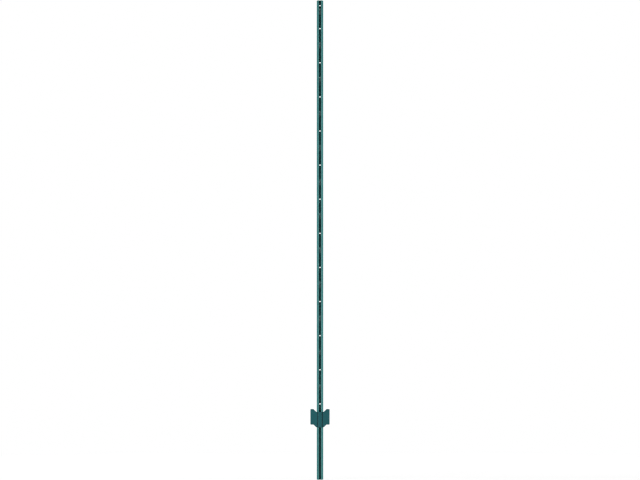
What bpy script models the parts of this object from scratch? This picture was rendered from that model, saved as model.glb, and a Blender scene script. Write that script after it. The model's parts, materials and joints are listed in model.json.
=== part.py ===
"""A U-channel fence post: one rolled steel channel with an anchor plate near its foot.

Metres, +Z up. The origin is at the foot, in the middle of the width, on the plane of the flanges' front
faces. The open side of the channel faces -Y, and the fence hangs on the closed side, at +Y.
"""

from math import acos, ceil, cos, floor, pi, radians, sin, tan

import bmesh
import bpy
from mathutils import Matrix, Vector

# Channel section
POST_LENGTH = 2.1336
POST_WIDTH = 0.0291
POST_DEPTH = 0.0145
POST_SHEET = 0.0012
TROUGH_WIDTH = 0.0088
BEND_INSIDE_RADIUS = 0.0006
FLANGE_EDGE_RADIUS = 0.0003
FLANGE_CORNER_RADIUS = 0.005

# Round holes down the web, measured from the top end
HOLE_DIAMETER = 0.006
HOLE_PITCH = 0.1519
TOP_HOLE_DEPTH = 0.0232
FIRST_HOLE_DEPTH = 0.1255
HOLE_ABOVE_PLATE = 0.015

# Lugs, each punched out of its own window halfway between two holes and bent out to the fence side.
# The punch stretches a lug, so that its end stays just under the window's upper edge.
WINDOW_WIDTH = 0.005
WINDOW_HEIGHT = 0.024
WINDOW_CORNER_RADIUS = 0.001
LUG_SIDE_GAP = 0.0001
LUG_TOP_GAP = 0.0002
LUG_THINNING = 0.0002
LUG_LEAN = radians(15)
LUG_CORNER_RADIUS = 0.001
LUG_ROOT = 0.001

# Anchor plate, its wings flat on the flanges and a rib pressed forward between them
PLATE_WIDTH = 0.0855
PLATE_HEIGHT = 0.069
PLATE_SHEET = 0.0015
PLATE_BOTTOM = 0.2334
PLATE_SHOULDER_RISE = 0.012
PLATE_TIP_WIDTH = 0.0138
PLATE_SHOULDER_RUN = 0.0122
PLATE_CORNER_RADIUS = 0.003
PLATE_EDGE_RADIUS = 0.0003
RIB_WIDTH = 0.0178
RIB_PRESS = 0.004
RIB_SLOPE = radians(75)
RIB_BEND_RADIUS = 0.00125
SEAT_GAP = 0.0003

# Spot welds that hold the plate to the flanges, seen as shallow round marks
WELD_DIAMETER = 0.0035
WELD_DEPTH = 0.0003
WELD_END_DISTANCE = 0.016

# How finely round forms are cut into flat faces
ARC_STEP = radians(22.5)
HOLE_SIDES = 20
WELD_SIDES = 16
LUG_CORNER_STEPS = 3
SHARP_ANGLE = radians(30)
ROUNDING_SLACK = 0.01
POINT_SLACK = 0.00001
CUT_MARGIN = 0.002

WEB_BACK = POST_DEPTH
WEB_FRONT = POST_DEPTH - POST_SHEET
FLANGE_FRONT = 0.0
WING_BACK = FLANGE_FRONT - SEAT_GAP
WING_FRONT = WING_BACK - PLATE_SHEET


def remove_everything():
    for item in list(bpy.data.objects):
        bpy.data.objects.remove(item, do_unlink=True)


def corner_arc(before, corner, after, radius):
    """The points that round one corner of a path, or the corner itself where the radius is zero."""
    if radius == 0:
        return [corner]
    to_before = (before - corner).normalized()
    to_after = (after - corner).normalized()
    opening = acos(max(-1.0, min(1.0, to_before.dot(to_after))))
    tangent_length = radius / tan(opening / 2)
    centre = corner + (to_before + to_after).normalized() * radius / sin(opening / 2)
    start = corner + to_before * tangent_length - centre
    turn_side = 1 if to_before.x * to_after.y - to_before.y * to_after.x < 0 else -1
    sweep = (pi - opening) * turn_side
    steps = max(1, ceil(abs(sweep) / ARC_STEP - ROUNDING_SLACK))
    return [centre + Matrix.Rotation(sweep * step / steps, 2) @ start for step in range(steps + 1)]


def rounded_path(corners, radii, closed):
    """A path through the corners, each one rounded by its own radius."""
    points = []
    last = len(corners) - 1
    for index, corner in enumerate(corners):
        if not closed and index in (0, last):
            points.append(corner)
            continue
        before = corners[index - 1]
        after = corners[(index + 1) % len(corners)]
        points.extend(corner_arc(before, corner, after, radii[index]))
    return points


def offset_path(path, distance):
    """The path moved sideways by a distance, with its straight runs kept parallel."""
    moved = []
    for index, point in enumerate(path):
        into = (point - path[index - 1]).normalized() if index > 0 else None
        out = (path[index + 1] - point).normalized() if index < len(path) - 1 else None
        into = into or out
        out = out or into
        side = (into + out).normalized().orthogonal()
        moved.append(point + side * distance / side.dot(into.orthogonal()))
    return moved


def sheet_outline(path, thickness, edge_radius):
    """The closed outline of a folded sheet whose middle follows the path, with slightly rounded edges."""
    left = offset_path(path, thickness / 2)
    right = offset_path(path, -thickness / 2)
    outline = left + right[::-1]
    radii = [0] * len(outline)
    for index in (0, len(left) - 1, len(left), len(outline) - 1):
        radii[index] = edge_radius
    return rounded_path(outline, radii, closed=True)


def round_outline(across, along, diameter, sides):
    """A circle with flat sides, about a centre."""
    centre = Vector((across, along))
    angles = [2 * pi * side / sides for side in range(sides)]
    return [centre + Vector((cos(angle), sin(angle))) * diameter / 2 for angle in angles]


def box_outline(low, high, radius):
    """An upright rectangle with rounded corners."""
    corners = [
        Vector((low[0], low[1])),
        Vector((high[0], low[1])),
        Vector((high[0], high[1])),
        Vector((low[0], high[1])),
    ]
    return rounded_path(corners, [radius] * len(corners), closed=True)


def add_prism(shape, outline, axis, low, high):
    """Adds a solid whose flat outline is drawn across an axis and runs along it from low to high."""
    place = {
        "X": lambda point, level: (level, point.x, point.y),
        "Y": lambda point, level: (point.x, level, point.y),
        "Z": lambda point, level: (point.x, point.y, level),
    }[axis]
    face = shape.faces.new([shape.verts.new(place(point, low)) for point in outline])
    extruded = bmesh.ops.extrude_face_region(shape, geom=[face], use_keep_orig=True)
    moved = [item for item in extruded["geom"] if isinstance(item, bmesh.types.BMVert)]
    step = Vector(place(Vector((0, 0)), high)) - Vector(place(Vector((0, 0)), low))
    bmesh.ops.translate(shape, verts=moved, vec=step)


def make_object(name, shape):
    """Turns a bmesh into an object of the scene, with its faces pointing out."""
    bmesh.ops.recalc_face_normals(shape, faces=shape.faces)
    mesh = bpy.data.meshes.new(name)
    shape.to_mesh(mesh)
    shape.free()
    item = bpy.data.objects.new(name, mesh)
    bpy.context.scene.collection.objects.link(item)
    return item


def as_helper(item):
    """Keeps a cutter or another helping shape out of the model."""
    item.hide_render = True
    item.display_type = "WIRE"
    return item


def combine(item, operation, helper, solver="EXACT"):
    modifier = item.modifiers.new(helper.name, "BOOLEAN")
    modifier.operation = operation
    modifier.solver = solver
    modifier.object = helper


def settle(item):
    """Makes the modifiers' result the object's own mesh, smooth over bends and sharp at edges."""
    bpy.context.view_layer.update()
    evaluated = item.evaluated_get(bpy.context.evaluated_depsgraph_get())
    item.data = bpy.data.meshes.new_from_object(evaluated)
    item.data.name = item.name
    item.modifiers.clear()
    item.data.shade_smooth()
    item.data.set_sharp_from_angle(angle=SHARP_ANGLE)


def paint(item, name, colour, roughness):
    """Powder coat over steel."""
    material = bpy.data.materials.new(name)
    material.use_nodes = True
    shader = material.node_tree.nodes["Principled BSDF"]
    shader.inputs["Base Color"].default_value = (*colour, 1)
    shader.inputs["Roughness"].default_value = roughness
    shader.inputs["Metallic"].default_value = 0
    item.data.materials.clear()
    item.data.materials.append(material)


def plate_top():
    """The height of the plate's raised tips."""
    return PLATE_BOTTOM + PLATE_HEIGHT + PLATE_SHOULDER_RISE


def hole_heights():
    """Heights of the regular holes, from the top end down to just above the plate."""
    highest = POST_LENGTH - FIRST_HOLE_DEPTH
    lowest = plate_top() + HOLE_ABOVE_PLATE
    count = max(0, floor((highest - lowest) / HOLE_PITCH) + 1)
    return [highest - HOLE_PITCH * number for number in range(count)]


def window_floors():
    """Heights of the windows' lower edges, one window half a pitch above each regular hole."""
    return [height + HOLE_PITCH / 2 - WINDOW_HEIGHT / 2 for height in hole_heights()]


def channel_section():
    """The outline of the channel's cross-section: two flanges, two walls and the web."""
    middle_front = FLANGE_FRONT + POST_SHEET / 2
    middle_back = WEB_BACK - POST_SHEET / 2
    wall = TROUGH_WIDTH / 2 + POST_SHEET / 2
    corners = [
        Vector((-POST_WIDTH / 2, middle_front)),
        Vector((-wall, middle_front)),
        Vector((-wall, middle_back)),
        Vector((wall, middle_back)),
        Vector((wall, middle_front)),
        Vector((POST_WIDTH / 2, middle_front)),
    ]
    bend_radius = BEND_INSIDE_RADIUS + POST_SHEET / 2
    path = rounded_path(corners, [bend_radius] * len(corners), closed=False)
    return sheet_outline(path, POST_SHEET, FLANGE_EDGE_RADIUS)


def corner_cut(side, end, outward):
    """The waste outside one rounded corner of a flange. side is -1 or 1, outward is 1 at the top end."""
    edge = side * POST_WIDTH / 2
    radius = FLANGE_CORNER_RADIUS
    beyond_edge = edge + side * CUT_MARGIN
    beyond_end = end + outward * CUT_MARGIN
    arc = corner_arc(
        Vector((edge, end - outward * radius * 2)),
        Vector((edge, end)),
        Vector((edge - side * radius * 2, end)),
        radius,
    )
    return [
        Vector((beyond_edge, end - outward * radius)),
        *arc,
        Vector((edge - side * radius, beyond_end)),
        Vector((beyond_edge, beyond_end)),
    ]


def channel_cutters():
    """Everything that is punched or cut out of the channel."""
    shape = bmesh.new()
    hole_low = WEB_FRONT - CUT_MARGIN
    hole_high = WEB_BACK + CUT_MARGIN
    for height in [POST_LENGTH - TOP_HOLE_DEPTH, *hole_heights()]:
        add_prism(shape, round_outline(0, height, HOLE_DIAMETER, HOLE_SIDES), "Y", hole_low, hole_high)
    for floor_height in window_floors():
        low = (-WINDOW_WIDTH / 2, floor_height)
        high = (WINDOW_WIDTH / 2, floor_height + WINDOW_HEIGHT)
        add_prism(shape, box_outline(low, high, WINDOW_CORNER_RADIUS), "Y", hole_low, hole_high)
    for side in (-1, 1):
        for end, outward in ((0.0, -1), (POST_LENGTH, 1)):
            outline = corner_cut(side, end, outward)
            add_prism(shape, outline, "Y", FLANGE_FRONT - CUT_MARGIN, POST_SHEET + CUT_MARGIN)
    return as_helper(make_object("channel_cutters", shape))


def add_lug(shape, floor_height):
    """One lug: the tongue of its window, bent out to the fence side with its free end up."""
    thickness = POST_SHEET - LUG_THINNING
    half_width = WINDOW_WIDTH / 2 - LUG_SIDE_GAP
    middle = WEB_BACK - POST_SHEET / 2
    bend_radius = BEND_INSIDE_RADIUS + thickness / 2
    foot = Vector((middle, floor_height - LUG_ROOT))
    knee = Vector((middle, floor_height + bend_radius * tan(LUG_LEAN / 2)))
    tip_height = floor_height + WINDOW_HEIGHT - LUG_TOP_GAP
    tip = knee + Vector((tan(LUG_LEAN), 1)) * (tip_height - knee.y)
    path = rounded_path([foot, knee, tip], [0, bend_radius, 0], closed=False)
    outline = sheet_outline(path, thickness, 0)
    add_prism(shape, outline, "X", -half_width, half_width)
    through_thickness = [
        edge
        for edge in shape.edges
        if edge.calc_length() < thickness + POINT_SLACK
        and all((vert.co.yz - tip).length < thickness / 2 + POINT_SLACK for vert in edge.verts)
    ]
    bmesh.ops.bevel(
        shape,
        geom=through_thickness,
        offset=LUG_CORNER_RADIUS,
        offset_type="OFFSET",
        affect="EDGES",
        segments=LUG_CORNER_STEPS,
        profile=0.5,
    )


def lug_blanks():
    shape = bmesh.new()
    for floor_height in window_floors():
        add_lug(shape, floor_height)
    return as_helper(make_object("lug_blanks", shape))


def build_channel():
    """The folded sheet, cut and with its lugs. The exact solver cracks faces this long beside a hole."""
    shape = bmesh.new()
    add_prism(shape, channel_section(), "Z", 0.0, POST_LENGTH)
    channel = make_object("post_channel", shape)
    combine(channel, "DIFFERENCE", channel_cutters(), "MANIFOLD")
    combine(channel, "UNION", lug_blanks(), "MANIFOLD")
    settle(channel)
    paint(channel, "channel_powder_coat", (0.022, 0.125, 0.118), 0.38)
    return channel


def plate_section():
    """The outline of the plate's cross-section: a wing seated on each flange, and the rib between them."""
    wing_middle = (WING_FRONT + WING_BACK) / 2
    rib_middle = wing_middle - RIB_PRESS
    right_side = [
        Vector((RIB_WIDTH / 2 - RIB_PRESS / tan(RIB_SLOPE), rib_middle)),
        Vector((RIB_WIDTH / 2, wing_middle)),
        Vector((PLATE_WIDTH / 2, wing_middle)),
    ]
    left_side = [Vector((-point.x, point.y)) for point in reversed(right_side)]
    corners = left_side + right_side
    path = rounded_path(corners, [RIB_BEND_RADIUS] * len(corners), closed=False)
    return sheet_outline(path, PLATE_SHEET, PLATE_EDGE_RADIUS)


def plate_outline():
    """The plate as seen from the front: lowered in the middle, so that one strip yields nested blanks."""
    half = PLATE_WIDTH / 2
    tip = half - PLATE_TIP_WIDTH
    neck = tip - PLATE_SHOULDER_RUN
    low = PLATE_BOTTOM
    high = PLATE_BOTTOM + PLATE_HEIGHT
    rise = PLATE_SHOULDER_RISE
    radius = PLATE_CORNER_RADIUS
    right_side = [
        (Vector((neck, low)), radius),
        (Vector((tip, low + rise)), radius),
        (Vector((half, low + rise)), radius),
        (Vector((half, high + rise)), radius),
        (Vector((tip, high + rise)), radius),
        (Vector((neck, high)), radius),
    ]
    left_side = [(Vector((-point.x, point.y)), size) for point, size in reversed(right_side)]
    corners = right_side + left_side
    return rounded_path([point for point, _ in corners], [size for _, size in corners], closed=True)


def weld_marks():
    """Shallow round marks of the spot welds, over the middle of each wing's seat on its flange."""
    shape = bmesh.new()
    seat_inner = RIB_WIDTH / 2 + RIB_BEND_RADIUS
    seat_outer = POST_WIDTH / 2 - FLANGE_EDGE_RADIUS
    across = (seat_inner + seat_outer) / 2
    for side in (-1, 1):
        for height in (PLATE_BOTTOM + WELD_END_DISTANCE, PLATE_BOTTOM + PLATE_HEIGHT - WELD_END_DISTANCE):
            outline = round_outline(side * across, height, WELD_DIAMETER, WELD_SIDES)
            add_prism(shape, outline, "Y", WING_FRONT - CUT_MARGIN, WING_FRONT + WELD_DEPTH)
    return as_helper(make_object("weld_marks", shape))


def build_plate():
    shape = bmesh.new()
    add_prism(shape, plate_section(), "Z", PLATE_BOTTOM - CUT_MARGIN, plate_top() + CUT_MARGIN)
    plate = make_object("anchor_plate", shape)
    blank = bmesh.new()
    add_prism(blank, plate_outline(), "Y", WING_FRONT - RIB_PRESS - CUT_MARGIN, WING_BACK + CUT_MARGIN)
    combine(plate, "INTERSECT", as_helper(make_object("plate_blank", blank)))
    combine(plate, "DIFFERENCE", weld_marks())
    settle(plate)
    paint(plate, "plate_powder_coat", (0.014, 0.098, 0.108), 0.42)
    return plate


def main():
    remove_everything()
    post = bpy.data.objects.new("fence_post", None)
    bpy.context.scene.collection.objects.link(post)
    for piece in (build_channel(), build_plate()):
        piece.parent = post


main()
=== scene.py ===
import json
from math import acos, cos, pi, radians, sin, sqrt, tan
from typing import NamedTuple

import bmesh
import bpy
from mathutils import Matrix, Vector


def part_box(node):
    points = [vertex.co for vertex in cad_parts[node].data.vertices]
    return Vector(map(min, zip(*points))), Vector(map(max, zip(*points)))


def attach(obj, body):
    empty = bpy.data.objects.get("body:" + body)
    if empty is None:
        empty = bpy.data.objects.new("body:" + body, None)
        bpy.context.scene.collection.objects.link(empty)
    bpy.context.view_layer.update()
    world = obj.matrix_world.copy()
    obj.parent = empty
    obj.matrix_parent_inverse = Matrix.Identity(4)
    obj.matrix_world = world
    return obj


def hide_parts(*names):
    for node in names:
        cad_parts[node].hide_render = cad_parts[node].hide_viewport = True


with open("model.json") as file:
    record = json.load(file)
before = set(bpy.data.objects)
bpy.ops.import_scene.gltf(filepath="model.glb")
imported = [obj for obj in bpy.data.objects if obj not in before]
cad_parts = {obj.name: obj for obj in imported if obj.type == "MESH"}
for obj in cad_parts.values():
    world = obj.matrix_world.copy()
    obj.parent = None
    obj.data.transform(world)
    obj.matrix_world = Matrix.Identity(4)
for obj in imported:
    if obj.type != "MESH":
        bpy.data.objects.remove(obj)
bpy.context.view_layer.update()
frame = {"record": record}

CHANNEL_LOW, CHANNEL_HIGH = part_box("post_channel")
PLATE_LOW, PLATE_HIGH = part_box("anchor_plate")

# Channel section, in metres. The open side faces -Y, and the front faces of the flanges lie at y = 0.
POST_LENGTH = CHANNEL_HIGH.z - CHANNEL_LOW.z
POST_WIDTH = CHANNEL_HIGH.x - CHANNEL_LOW.x
POST_DEPTH = 0.0145
POST_SHEET = 0.0012
TROUGH_WIDTH = 0.0088
BEND_INSIDE_RADIUS = 0.0006
FLANGE_CORNER_RADIUS = 0.005

# Holes, windows and lugs
HOLE_RADIUS = 0.003
WINDOW_WIDTH = 0.005
WINDOW_HEIGHT = 0.024
WINDOW_CORNER_RADIUS = 0.001
LUG_SIDE_GAP = 0.0001
LUG_TOP_GAP = 0.0002
LUG_SHEET = 0.001
LUG_LEAN = radians(15)
LUG_CORNER_RADIUS = 0.001

# The record's opening behind each lug starts this far above the floor of the lug's window
OPENING_ABOVE_WINDOW_FLOOR = 0.0201

# Anchor plate
PLATE_SHEET = 0.0015
PLATE_SHOULDER_RISE = 0.012
PLATE_SHOULDER_RUN = 0.0122
PLATE_TIP_WIDTH = 0.0138
PLATE_CORNER_RADIUS = 0.003
PLATE_MIDDLE_HEIGHT = PLATE_HIGH.z - PLATE_LOW.z - PLATE_SHOULDER_RISE
RIB_WIDTH = 0.0178
RIB_SLOPE = radians(75)
RIB_BEND_RADIUS = 0.00125

# Marks of the spot welds, each pressed in with a soft edge
WELD_RADIUS = 0.00175
WELD_DEPTH = 0.00025
WELD_EDGE = 0.0006
WELD_END_DISTANCE = 0.016

# Radii of the coated edges: punched in the web, cut at the ends and round the plate, rolled on the flanges
PUNCHED_EDGE = 0.00007
CUT_EDGE = 0.00015
ROLLED_EDGE = 0.00025

# How finely curves are divided
EDGE_STEPS = 3
BEND_STEP = radians(15)
RIB_BEND_STEP = radians(7)
LUG_BEND_STEP = radians(6)
PLATE_CORNER_STEP = radians(9)
FLANGE_CORNER_ANGLES = [radians(angle) for angle in (90, 76, 62, 49, 37, 26, 0)]
WINDOW_CORNER_ANGLES = [radians(angle) for angle in (18, 36, 54, 72)]
LUG_CORNER_ANGLES = [radians(angle) for angle in (0, 20, 40, 60, 90)]
SHARP_ANGLE = radians(40)

# Layout of the channel's faces: half the height of the patch of web round a hole, the rows in it, and
# how far the first row lies from an end
HOLE_PATCH = 0.0045
HOLE_SIDE_STEPS = 10
END_ZONE = 0.008

# Layout of the plate's faces: its rows as shares of its height, the steps across half a weld, the least
# gap between columns, and the strip at each side where they keep clear of the rounded edge
PLATE_ROWS = (0.0, 0.02, 0.5, 0.98, 1.0)
WELD_STEPS = 8
COLUMN_GAP = 0.00007
PLATE_RIM = ROLLED_EDGE * 1.5

# How far to both sides of a point the slope of a path is taken
SLOPE_STEP = 0.00005

# Decimal places of a length in metres, so that the two sides of the post agree
DECIMAL_PLACES = 9

# Floor. For the camera, a glow lifts its lit middle to white, and the light on it fades out between two
# distances from the post, so that no light draws a line on it.
FLOOR_HALF = 30.0
FLOOR_FADE = (1.5, 3.3)
FLOOR_GLOW = 0.69
FLOOR_GREY = (0.4, 0.4, 0.4, 1)
BLACK = (0, 0, 0, 1)
WHITE = (1, 1, 1, 1)

# Lights, with sizes in metres. The front ones stand low, so that the foot is as bright as the top.
FRONT_LEVEL = 0.93
FRONT_SIZE = (1.1, 1.7)
BACK_LEVEL = POST_LENGTH / 2
BACK_SIZE = (1.6, 4.5)
OVERHEAD_SIZE = (3.0, 2.4)
BACKDROP_STRENGTH = 1.0
ROOM_STRENGTH = 0.07

# The photograph's frame, in pixels, and where the post stands in it
IMAGE_WIDTH = 640
IMAGE_HEIGHT = 480
TOP_PIXEL = 0.33
FOOT_PIXEL = 479.74
MIDDLE_PIXEL = 320.0
CAMERA_DISTANCE = 25.0
CAMERA_REACH = 200.0
SENSOR = 36.0
FILTER_WIDTH = 1.25


def nearest(values, wanted):
    """The index of the value that lies nearest to a wanted one."""
    return min(range(len(values)), key=lambda index: abs(values[index] - wanted))


def smooth_step(value):
    """A soft change from 0 to 1, held on both sides."""
    value = max(0.0, min(1.0, value))
    return value * value * (3 - 2 * value)


def mirrored(values):
    """The values on both sides of zero, each once, from the lowest to the highest."""
    return sorted({round(sign * value, DECIMAL_PLACES) for value in values for sign in (-1, 1)})


def mirrored_path(right):
    """A path from left to right, of which the right half is given."""
    return [Vector((-point.x, point.y)) for point in reversed(right)] + right


def corner_arc(before, corner, after, radius, step):
    """The points that round one corner of a path."""
    to_before = (before - corner).normalized()
    to_after = (after - corner).normalized()
    opening = acos(max(-1.0, min(1.0, to_before.dot(to_after))))
    centre = corner + (to_before + to_after).normalized() * radius / sin(opening / 2)
    start = corner + to_before * radius / tan(opening / 2) - centre
    turn_side = 1 if to_before.x * to_after.y - to_before.y * to_after.x < 0 else -1
    sweep = (pi - opening) * turn_side
    steps = max(2, round(abs(sweep) / step))
    return [centre + Matrix.Rotation(sweep * number / steps, 2) @ start for number in range(steps + 1)]


def rounded_path(corners, radius, step):
    """An open path whose inner corners are all rounded by one radius."""
    points = [corners[0]]
    for before, corner, after in zip(corners, corners[1:], corners[2:]):
        points.extend(corner_arc(before, corner, after, radius, step))
    return [*points, corners[-1]]


def left_sides(path):
    """At each point of a path, the vector to its left that keeps an offset path parallel to it."""
    runs = [(end - start).normalized() for start, end in zip(path, path[1:])]
    sides = []
    for into, out in zip([runs[0], *runs], [*runs, runs[-1]]):
        along = (into + out).normalized()
        sides.append(Vector((-along.y, along.x)) / along.dot(into))
    return sides


def interpolated(path, x):
    """The height of a path that runs from left to right, at x."""
    for before, after in zip(path, path[1:]):
        if before.x <= x <= after.x and after.x > before.x:
            return before.y + (after.y - before.y) * (x - before.x) / (after.x - before.x)
    return path[-1].y if x > path[-1].x else path[0].y


def new_object(name, data):
    """A new object in the scene, made of a mesh, a light or a camera."""
    item = bpy.data.objects.new(name, data)
    bpy.context.scene.collection.objects.link(item)
    return item


class SheetPoint(NamedTuple):
    """A point of a sheet's middle surface.

    half leads from there to the front surface, edge is the radius of the rim if the point lies on it,
    and dent is how far the front is pressed in elsewhere.
    """

    place: Vector
    half: Vector
    edge: float
    dent: float


class Sheet:
    """A thin folded sheet, given by the points and faces of its middle surface."""

    def __init__(self):
        self.points = []
        self.faces = []

    def add(self, place, half, edge, dent=0.0):
        """Adds a point and gives its number."""
        self.points.append(SheetPoint(place, half, edge, dent))
        return len(self.points) - 1

    def rim(self):
        """The edges that belong to one face only, in that face's direction."""
        edges = dict.fromkeys(pair for face in self.faces for pair in zip(face, face[1:] + face[:1]))
        return [(start, end) for start, end in edges if (end, start) not in edges]

    def inward(self, rim):
        """At each point of the rim, the direction along the sheet that leads into it."""
        leads = {}
        for start, end in rim:
            run = (self.points[end].place - self.points[start].place).normalized()
            for index in (start, end):
                normal = self.points[index].half.normalized()
                leads.setdefault(index, []).append(normal.cross(run).normalized())
        return {index: (one + other) / (1 + one.dot(other)) for index, (one, other) in leads.items()}

    def ring(self, point, lead):
        """The places round the rim at one of its points, from the front surface to the back one."""
        share = point.edge / point.half.length
        angles = [pi / 2 * step / EDGE_STEPS for step in range(EDGE_STEPS + 1)]
        front = [(point.edge * (1 - sin(angle)), 1 - share * (1 - cos(angle))) for angle in angles]
        back = [(inset, -height) for inset, height in reversed(front)]
        return [point.place + lead * inset + point.half * height for inset, height in front + back]

    def build(self, name):
        """The solid sheet as an object, with its rim rounded from the front surface to the back one."""
        shape = bmesh.new()
        rim = self.rim()
        leads = self.inward(rim)
        rings = []
        for index, point in enumerate(self.points):
            if index in leads:
                places = self.ring(point, leads[index])
            else:
                dent = point.half.normalized() * point.dent
                places = [point.place + point.half - dent, point.place - point.half]
            rings.append([shape.verts.new(place) for place in places])
        for face in self.faces:
            shape.faces.new([rings[index][0] for index in face])
            shape.faces.new([rings[index][-1] for index in reversed(face)])
        for start, end in rim:
            first, second = rings[start], rings[end]
            for level in range(len(first) - 1):
                shape.faces.new([second[level], first[level], first[level + 1], second[level + 1]])
        mesh = bpy.data.meshes.new(name)
        shape.to_mesh(mesh)
        shape.free()
        mesh.shade_smooth()
        mesh.set_sharp_from_angle(angle=SHARP_ANGLE)
        return new_object(name, mesh)


WINDOW_EDGE = WINDOW_WIDTH / 2
LUG_HALF = WINDOW_EDGE - LUG_SIDE_GAP
ARC_END = WINDOW_EDGE - WINDOW_CORNER_RADIUS
WEB_FLAT = TROUGH_WIDTH / 2 - BEND_INSIDE_RADIUS
WEB_MIDDLE = POST_DEPTH - POST_SHEET / 2
WEB_HALF = Vector((0, -POST_SHEET / 2, 0))
WEB_COLUMNS = mirrored([0, ARC_END / 2, ARC_END, LUG_HALF, WINDOW_EDGE, WEB_FLAT])
LUG_COLUMNS = [x for x in WEB_COLUMNS if abs(x) < (LUG_HALF + WINDOW_EDGE) / 2]


def channel_columns():
    """Where the channel's long lines cross its section: a point and a half thickness for each."""
    wall = TROUGH_WIDTH / 2 + POST_SHEET / 2
    front = POST_SHEET / 2
    edge = POST_WIDTH / 2
    corners = [
        Vector((0, WEB_MIDDLE)),
        Vector((wall, WEB_MIDDLE)),
        Vector((wall, front)),
        Vector((edge, front)),
    ]
    right = rounded_path(corners, BEND_INSIDE_RADIUS + POST_SHEET / 2, BEND_STEP)[1:-1]
    insets = [FLANGE_CORNER_RADIUS * (1 - cos(angle)) for angle in FLANGE_CORNER_ANGLES]
    right += [Vector((edge - inset, front)) for inset in insets]
    left = [Vector((-point.x, point.y)) for point in reversed(right)]
    web = [Vector((x, WEB_MIDDLE)) for x in WEB_COLUMNS[1:-1]]
    path = left + web + right
    return [(point, -side * POST_SHEET / 2) for point, side in zip(path, left_sides(path))]


def end_rise(x):
    """How far a rounded corner of the flange stands back from the post's end."""
    from_edge = POST_WIDTH / 2 - abs(x)
    short = max(0.0, FLANGE_CORNER_RADIUS - from_edge)
    return FLANGE_CORNER_RADIUS - sqrt(max(0.0, FLANGE_CORNER_RADIUS**2 - short**2))


def opening_boxes(prefix):
    """The boxes of the record's openings whose names start with a prefix: two corners each."""
    openings = frame["record"]["physics"]["openings"]
    return [opening["box_m"] for opening in openings if opening["name"].startswith(prefix)]


def lug_path():
    """The lug's middle line and half its width, from its root to its rounded free end.

    Each point of the line is a distance out from the web's middle, and a height over the window's floor.
    """
    bend = BEND_INSIDE_RADIUS + LUG_SHEET / 2
    knee = Vector((0, bend * tan(LUG_LEAN / 2)))
    lean = Vector((sin(LUG_LEAN), cos(LUG_LEAN)))
    length = (WINDOW_HEIGHT - LUG_TOP_GAP - knee.y) / cos(LUG_LEAN)
    curve = corner_arc(Vector((0, -1)), knee, knee + lean, bend, LUG_BEND_STEP)[1:]
    ends = [length - LUG_CORNER_RADIUS * (1 - sin(angle)) for angle in LUG_CORNER_ANGLES]
    halves = [LUG_HALF - LUG_CORNER_RADIUS * (1 - cos(angle)) for angle in LUG_CORNER_ANGLES]
    return curve + [knee + lean * end for end in ends], [LUG_HALF] * len(curve) + halves


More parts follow.
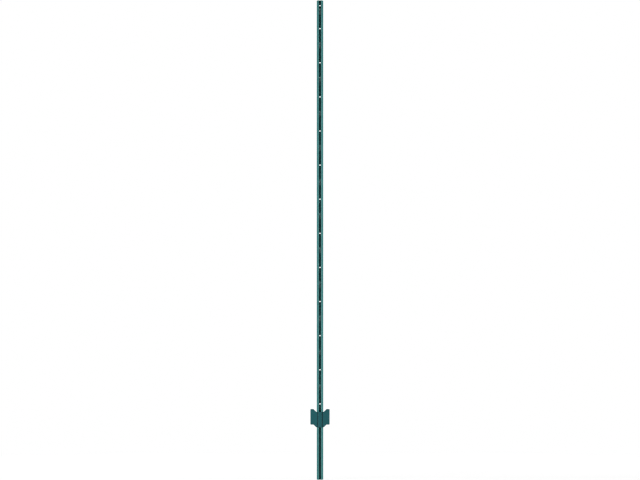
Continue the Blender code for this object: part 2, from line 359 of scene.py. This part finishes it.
class Channel:
    """The rolled channel, with its holes, windows and lugs, as one sheet."""

    def __init__(self):
        self.sheet = Sheet()
        self.columns = channel_columns()
        self.first_web = nearest([point.x for point, _ in self.columns], -WEB_FLAT)
        self.last_web = self.first_web + len(WEB_COLUMNS) - 1
        hole_boxes = opening_boxes("top_hole") + opening_boxes("hole_")
        self.holes = [(low[2] + high[2]) / 2 for low, high in hole_boxes]
        self.floors = [low[2] - OPENING_ABOVE_WINDOW_FLOOR for low, _ in opening_boxes("lug_gap")]
        self.grid = {}
        self.rows = self.list_rows()

    def list_rows(self):
        """The heights at which faces meet, from the foot to the top."""
        rows = {0.0, END_ZONE, POST_LENGTH - END_ZONE, POST_LENGTH}
        for height in self.holes:
            for step in range(HOLE_SIDE_STEPS + 1):
                rows.add(height + HOLE_PATCH * (2 * step / HOLE_SIDE_STEPS - 1))
        for floor in self.floors:
            rows |= {floor, floor + WINDOW_HEIGHT - WINDOW_CORNER_RADIUS, floor + WINDOW_HEIGHT}
        return sorted(rows)

    def zone(self, low, high):
        """What the web holds between two rows: a hole, a window or nothing."""
        middle = (low + high) / 2
        if any(abs(middle - height) < HOLE_PATCH for height in self.holes):
            return "hole"
        if any(floor < middle < floor + WINDOW_HEIGHT for floor in self.floors):
            return "window"
        return "plain"

    def vertex(self, row, column):
        """The point where a row meets a column, made when it is first asked for."""
        if (row, column) not in self.grid:
            point, half = self.columns[column]
            height = self.rows[row]
            edge = PUNCHED_EDGE
            if row == 0:
                height = end_rise(point.x)
                edge = CUT_EDGE
            if row == len(self.rows) - 1:
                height = POST_LENGTH - end_rise(point.x)
                edge = CUT_EDGE
            if column in (0, len(self.columns) - 1):
                edge = ROLLED_EDGE
            place = Vector((point.x, point.y, height))
            self.grid[row, column] = self.sheet.add(place, Vector((half.x, half.y, 0)), edge)
        return self.grid[row, column]

    def web_point(self, x, z):
        """A new point of the web, off its rows and columns."""
        return self.sheet.add(Vector((x, WEB_MIDDLE, z)), WEB_HALF, PUNCHED_EDGE)

    def web_column(self, x):
        """The column of the web that lies at x."""
        return self.first_web + nearest(WEB_COLUMNS, x)

    def add_bands(self):
        """The faces between each two rows, apart from those in a window or round a hole."""
        for row, (low, high) in enumerate(zip(self.rows, self.rows[1:])):
            zone = self.zone(low, high)
            for column in range(len(self.columns) - 1):
                in_web = self.first_web <= column < self.last_web
                beside_window = column in (self.first_web, self.last_web - 1)
                if not in_web or zone == "plain" or (zone == "window" and beside_window):
                    corners = [(row, column), (row, column + 1), (row + 1, column + 1), (row + 1, column)]
                    self.sheet.faces.append([self.vertex(*corner) for corner in corners])

    def add_hole(self, height):
        """The faces between a hole and the edges of its patch of web, from the lower right corner on."""
        bottom = nearest(self.rows, height - HOLE_PATCH)
        top = bottom + HOLE_SIDE_STEPS
        left, right = self.first_web, self.last_web
        outer = [self.vertex(row, right) for row in range(bottom, top)]
        outer += [self.vertex(top, column) for column in range(right, left, -1)]
        outer += [self.vertex(row, left) for row in range(top, bottom, -1)]
        outer += [self.vertex(bottom, column) for column in range(left, right)]
        count = len(outer)
        angles = [2 * pi * number / count - pi / 4 for number in range(count)]
        inner = [
            self.web_point(HOLE_RADIUS * cos(angle), height + HOLE_RADIUS * sin(angle)) for angle in angles
        ]
        for number in range(count):
            following = (number + 1) % count
            self.sheet.faces.append([outer[number], outer[following], inner[following], inner[number]])

    def add_window_corner(self, floor, side):
        """The web outside one rounded upper corner of a window. side is 1 on the right."""
        top = nearest(self.rows, floor + WINDOW_HEIGHT)
        columns = [self.web_column(side * x) for x in (ARC_END, LUG_HALF, WINDOW_EDGE)]
        level = floor + WINDOW_HEIGHT - WINDOW_CORNER_RADIUS
        arc = [
            self.web_point(
                side * (ARC_END + WINDOW_CORNER_RADIUS * cos(angle)),
                level + WINDOW_CORNER_RADIUS * sin(angle),
            )
            for angle in WINDOW_CORNER_ANGLES
        ]
        face = [self.vertex(top - 1, columns[-1]), *arc, *[self.vertex(top, column) for column in columns]]
        self.sheet.faces.append(face if side < 0 else face[::-1])

    def add_lug(self, floor):
        """The tongue, from the window's floor along its bend to its rounded free end."""
        root = nearest(self.rows, floor)
        lower = [self.vertex(root, self.web_column(x)) for x in LUG_COLUMNS]
        path, half_widths = lug_path()
        sides = left_sides([Vector((0, 0)), *path])[1:]
        for point, side, half_width in zip(path, sides, half_widths):
            half = Vector((0, side.x, side.y)).normalized() * LUG_SHEET / 2
            spread = half_width / LUG_HALF
            places = [Vector((x * spread, WEB_MIDDLE + point.x, floor + point.y)) for x in LUG_COLUMNS]
            upper = [self.sheet.add(place, half, PUNCHED_EDGE) for place in places]
            for index in range(len(LUG_COLUMNS) - 1):
                self.sheet.faces.append([lower[index], lower[index + 1], upper[index + 1], upper[index]])
            lower = upper

    def build(self):
        """The whole channel as an object."""
        self.add_bands()
        for height in self.holes:
            self.add_hole(height)
        for floor in self.floors:
            for side in (-1, 1):
                self.add_window_corner(floor, side)
            self.add_lug(floor)
        return self.sheet.build("rolled_channel")


# The welds lie in the middle of the seats, between the rib's bends and the flanges' outer edges
WELD_X = (RIB_WIDTH / 2 + RIB_BEND_RADIUS + POST_WIDTH / 2 - ROLLED_EDGE) / 2
WELD_HEIGHTS = [
    PLATE_LOW.z + WELD_END_DISTANCE,
    PLATE_LOW.z + PLATE_MIDDLE_HEIGHT - WELD_END_DISTANCE,
]
WELD_REACH = [WELD_RADIUS * step / WELD_STEPS for step in range(-WELD_STEPS - 1, WELD_STEPS + 2)]


def plate_fold():
    """The middle line of the plate's section, from left to right."""
    wing = PLATE_HIGH.y - PLATE_SHEET / 2
    rib = PLATE_LOW.y + PLATE_SHEET / 2
    right = [
        Vector((RIB_WIDTH / 2 - (wing - rib) / tan(RIB_SLOPE), rib)),
        Vector((RIB_WIDTH / 2, wing)),
        Vector((PLATE_HIGH.x, wing)),
    ]
    return rounded_path(mirrored_path(right), RIB_BEND_RADIUS, RIB_BEND_STEP)


def plate_edge(level, side):
    """The plate's upper or lower edge. side is 1 at the top, where the outer corners turn down."""
    tip = PLATE_HIGH.x - PLATE_TIP_WIDTH
    shoulder = level + PLATE_SHOULDER_RISE
    corners = [
        Vector((0, level)),
        Vector((tip - PLATE_SHOULDER_RUN, level)),
        Vector((tip, shoulder)),
        Vector((PLATE_HIGH.x, shoulder)),
        Vector((PLATE_HIGH.x, shoulder - side * PLATE_CORNER_RADIUS * 2)),
    ]
    return mirrored_path(rounded_path(corners, PLATE_CORNER_RADIUS, PLATE_CORNER_STEP)[1:-1])


def plate_columns(fold, edge):
    """Where the plate's upright lines stand: at its bends, corners and welds, but never too close."""
    wanted = [point.x for point in fold + edge]
    wanted += [sign * (WELD_X + step) for step in WELD_REACH for sign in (-1, 1)]
    columns = []
    for x in sorted(wanted):
        gap = ROLLED_EDGE if PLATE_HIGH.x - abs(x) <= PLATE_RIM else COLUMN_GAP
        if not columns or x - columns[-1] > gap:
            columns.append(x)
    return [-PLATE_HIGH.x, *columns[1:-1], PLATE_HIGH.x]


def weld_dent(x, z):
    """How far the spot welds press in the front of the plate."""
    from_weld = min(sqrt((abs(x) - WELD_X) ** 2 + (z - level) ** 2) for level in WELD_HEIGHTS)
    return WELD_DEPTH * smooth_step((WELD_RADIUS - from_weld) / WELD_EDGE)


def build_plate():
    """The pressed plate, with the marks of the spot welds in its front."""
    sheet = Sheet()
    fold = plate_fold()
    low_edge = plate_edge(PLATE_LOW.z, -1)
    high_edge = plate_edge(PLATE_LOW.z + PLATE_MIDDLE_HEIGHT, 1)
    weld_rows = {
        (level + step - PLATE_LOW.z) / PLATE_MIDDLE_HEIGHT for level in WELD_HEIGHTS for step in WELD_REACH
    }
    rows = sorted({*PLATE_ROWS, *weld_rows})
    grid = []
    for x in plate_columns(fold, high_edge):
        depth = interpolated(fold, x)
        slope = (interpolated(fold, x + SLOPE_STEP) - interpolated(fold, x - SLOPE_STEP)) / (2 * SLOPE_STEP)
        half = Vector((slope, -1, 0)).normalized() * PLATE_SHEET / 2
        low = interpolated(low_edge, x)
        high = interpolated(high_edge, x)
        if abs(x) == PLATE_HIGH.x:
            low = PLATE_LOW.z + PLATE_SHOULDER_RISE + PLATE_CORNER_RADIUS
            high = PLATE_HIGH.z - PLATE_CORNER_RADIUS
        levels = [low + (high - low) * row for row in rows]
        grid.append([sheet.add(Vector((x, depth, z)), half, CUT_EDGE, weld_dent(x, z)) for z in levels])
    for left, right in zip(grid, grid[1:]):
        for row in range(len(rows) - 1):
            sheet.faces.append([left[row], right[row], right[row + 1], left[row + 1]])
    return sheet.build("pressed_plate")


class Nodes:
    """A short way to write a material's nodes. A value is a number, a colour or another node's socket."""

    def __init__(self, name):
        self.material = bpy.data.materials.new(name)
        self.material.use_nodes = True
        self.tree = self.material.node_tree
        self.shader = self.tree.nodes["Principled BSDF"]

    def join(self, value, socket):
        """Brings a value to a socket."""
        if isinstance(value, bpy.types.NodeSocket):
            self.tree.links.new(value, socket)
        else:
            socket.default_value = value

    def add(self, kind, values=None, **settings):
        """A new node, with values for its inputs."""
        node = self.tree.nodes.new(kind)
        for name, value in settings.items():
            setattr(node, name, value)
        for socket, value in (values or {}).items():
            self.join(value, node.inputs[socket])
        return node

    def set(self, socket, value):
        """Brings a value to an input of the shader."""
        self.join(value, self.shader.inputs[socket])

    def place(self):
        """Where a point of the surface lies, in metres."""
        return self.add("ShaderNodeTexCoord").outputs["Object"]

    def math(self, operation, *values):
        """The result of a sum on values."""
        return self.add("ShaderNodeMath", dict(enumerate(values)), operation=operation).outputs[0]

    def mix(self, kind, factor, first, second):
        """A mix of two colours (kind RGBA) or of two numbers (kind FLOAT)."""
        values = {"Factor": factor, "A": first, "B": second}
        return self.add("ShaderNodeMix", values, data_type=kind).outputs["Result"]

    def noise(self, place, scale, detail, roughness=0.5):
        """Noise with a number of features per metre."""
        values = {"Vector": place, "Scale": scale, "Detail": detail, "Roughness": roughness}
        return self.add("ShaderNodeTexNoise", values).outputs["Fac"]

    def spread(self, value, before, after, kind="LINEAR"):
        """A value brought from the range before to the range after, and held at its ends."""
        limits = zip(("From Min", "From Max", "To Min", "To Max"), (*before, *after))
        values = {"Value": value, **dict(limits)}
        return self.add("ShaderNodeMapRange", values, interpolation_type=kind).outputs[0]


# The coats' darkest and lightest tones
CHANNEL_TONES = ((0.0248, 0.1335, 0.1315), (0.0304, 0.1535, 0.151))
PLATE_TONES = ((0.0043, 0.0605, 0.0697), (0.0052, 0.0705, 0.0797))

# Noise in the coats: patches of tone, orange peel and grain, as features per metre, and their useful range
PATCH_SCALE = 14.0
PEEL_SCALE = 420.0
GRAIN_SCALE = 2600.0
NOISE_RANGE = (0.3, 0.7)
GRAIN_SHARE = 0.15
PEEL_STRENGTH = 0.5
PEEL_DEPTH = 0.0003

# Painted shade in the inner corners beside the plate's rib: how far out it lies and reaches, and its share
# of the tone
PAINTED_SHADE_OUT = 0.002
PAINTED_SHADE_REACH = 0.003
PAINTED_SHADE_TONE = 0.4


def paint_corner_shade(nodes, place, colour):
    """The coat's colour, with painted shade that darkens it in the inner corners beside the plate's rib."""
    across = nodes.add("ShaderNodeSeparateXYZ", {"Vector": place}).outputs["X"]
    from_middle = nodes.math("ABSOLUTE", across)
    from_corner = nodes.math("ABSOLUTE", nodes.math("SUBTRACT", from_middle, RIB_WIDTH / 2 + PAINTED_SHADE_OUT))
    share = nodes.spread(from_corner, (0.0, PAINTED_SHADE_REACH), (PAINTED_SHADE_TONE, 1.0), "SMOOTHSTEP")
    scaled = nodes.add("ShaderNodeVectorMath", {0: colour, "Scale": share}, operation="SCALE")
    return scaled.outputs["Vector"]


def powder_coat(name, tones, roughness, specular, seed, painted_corner_shade=False):
    """Satin powder coat: a fine orange peel, with faint changes of tone and gloss, and painted shade in the
    rib's inner corners if asked.
    """
    nodes = Nodes(name)
    place = nodes.place()
    shift = (seed, seed * 2, seed * 3)
    shifted = nodes.add("ShaderNodeMapping", {"Vector": place, "Location": shift}).outputs[0]
    patches = nodes.noise(shifted, PATCH_SCALE, detail=3.0, roughness=0.6)
    peel = nodes.noise(shifted, PEEL_SCALE, detail=2.0)
    grain = nodes.noise(shifted, GRAIN_SCALE, detail=1.0)
    dark, light = tones
    colour = nodes.mix("RGBA", nodes.spread(patches, NOISE_RANGE, (0.0, 1.0)), (*dark, 1), (*light, 1))
    # Painted shade: the colour is darkened beside the plate's rib, where shade falls in the corners
    if painted_corner_shade:
        colour = paint_corner_shade(nodes, place, colour)
    relief = nodes.math("MULTIPLY_ADD", grain, GRAIN_SHARE, peel)
    bump = nodes.add(
        "ShaderNodeBump", {"Height": relief, "Strength": PEEL_STRENGTH, "Distance": PEEL_DEPTH}
    )
    nodes.set("Base Color", colour)
    nodes.set("Roughness", nodes.spread(peel, NOISE_RANGE, roughness))
    nodes.set("Specular IOR Level", specular)
    nodes.set("Normal", bump.outputs[0])
    return nodes.material


def make_pieces():
    """The two dressed pieces, each in place of its solid."""
    channel = Channel().build()
    channel.data.materials.append(
        powder_coat("channel_powder_coat", CHANNEL_TONES, roughness=(0.40, 0.50), specular=0.5, seed=3.1)
    )
    plate = build_plate()
    plate.data.materials.append(
        # The plate's colour carries painted shade in the inner corners beside its rib
        powder_coat(
            "plate_powder_coat",
            PLATE_TONES,
            roughness=(0.44, 0.54),
            specular=0.22,
            seed=7.7,
            painted_corner_shade=True,
        )
    )
    pairs = (
        (channel, "post_channel", "channel_powder_coat"),
        (plate, "anchor_plate", "plate_powder_coat"),
    )
    for piece, node, slot in pairs:
        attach(piece, "root")
        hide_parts(node)


def make_floor():
    """A plain pale floor, which the camera sees as white."""
    mesh = bpy.data.meshes.new("floor")
    corners = [(x * FLOOR_HALF, y * FLOOR_HALF, 0) for x, y in ((-1, -1), (1, -1), (1, 1), (-1, 1))]
    mesh.from_pydata(corners, [], [(0, 1, 2, 3)])
    floor = new_object("floor", mesh)
    nodes = Nodes("floor_white")
    seen = nodes.add("ShaderNodeLightPath").outputs["Is Camera Ray"]
    away = nodes.add("ShaderNodeVectorMath", {0: nodes.place()}, operation="LENGTH").outputs["Value"]
    fade = nodes.spread(away, FLOOR_FADE, (0.0, 1.0), "SMOOTHSTEP")
    glow = nodes.mix("FLOAT", fade, FLOOR_GLOW, 1.0)
    nodes.set("Base Color", nodes.mix("RGBA", nodes.math("MULTIPLY", fade, seen), FLOOR_GREY, BLACK))
    nodes.set("Roughness", 0.9)
    nodes.set("Specular IOR Level", 0.0)
    nodes.set("Emission Color", WHITE)
    nodes.set("Emission Strength", nodes.math("MULTIPLY", glow, seen))
    floor.data.materials.append(nodes.material)


def softbox(name, place, target, size, power):
    """A rectangular light that faces its target and is not seen itself. Its power is in watts."""
    data = bpy.data.lights.new(name, "AREA")
    data.shape = "RECTANGLE"
    data.size, data.size_y = size
    data.energy = power
    lamp = new_object(name, data)
    lamp.location = place
    lamp.rotation_euler = (Vector(target) - Vector(place)).to_track_quat("-Z", "Y").to_euler()
    lamp.visible_camera = False


def make_lights():
    """Soft light on both sides, in front and behind, and from above."""
    front_target = (0, 0, FRONT_LEVEL)
    back_target = (0, 0, BACK_LEVEL)
    softbox("left_box", (-3.1, -3.4, FRONT_LEVEL), front_target, FRONT_SIZE, power=213)
    softbox("right_box", (3.1, -3.4, FRONT_LEVEL), front_target, FRONT_SIZE, power=136)
    softbox("back_left_box", (-3.2, 3.2, BACK_LEVEL), back_target, BACK_SIZE, power=160)
    softbox("back_right_box", (3.2, 3.2, BACK_LEVEL), back_target, BACK_SIZE, power=120)
    softbox("overhead", (0, 3.0, 4.8), (0, 0.2, 0), OVERHEAD_SIZE, power=70)


def make_world():
    """Plain white behind the object, and a dim white room around it."""
    world = bpy.data.worlds.new("studio")
    bpy.context.scene.world = world
    world.use_nodes = True
    tree = world.node_tree
    backdrop = tree.nodes["Background"]
    room = tree.nodes.new("ShaderNodeBackground")
    for background, strength in ((backdrop, BACKDROP_STRENGTH), (room, ROOM_STRENGTH)):
        background.inputs["Color"].default_value = WHITE
        background.inputs["Strength"].default_value = strength
    path = tree.nodes.new("ShaderNodeLightPath")
    mix = tree.nodes.new("ShaderNodeMixShader")
    tree.links.new(path.outputs["Is Camera Ray"], mix.inputs[0])
    tree.links.new(room.outputs[0], mix.inputs[1])
    tree.links.new(backdrop.outputs[0], mix.inputs[2])
    tree.links.new(mix.outputs[0], tree.nodes["World Output"].inputs["Surface"])


def make_camera():
    """A level camera straight in front of the open side, with the photograph's framing."""
    data = bpy.data.cameras.new("camera")
    camera = new_object("camera", data)
    pixel = POST_LENGTH / (FOOT_PIXEL - TOP_PIXEL)
    data.sensor_width = SENSOR
    data.lens = SENSOR * CAMERA_DISTANCE / (IMAGE_WIDTH * pixel)
    data.clip_end = CAMERA_REACH
    level = (FOOT_PIXEL - IMAGE_HEIGHT / 2) * pixel
    across = (IMAGE_WIDTH / 2 - MIDDLE_PIXEL) * pixel
    camera.location = (across, -CAMERA_DISTANCE, level)
    camera.rotation_euler = (pi / 2, 0, 0)
    bpy.context.scene.camera = camera


make_camera()
make_pieces()
make_floor()
make_lights()
make_world()
bpy.context.scene.view_settings.view_transform = "Standard"
bpy.context.scene.cycles.filter_width = FILTER_WIDTH
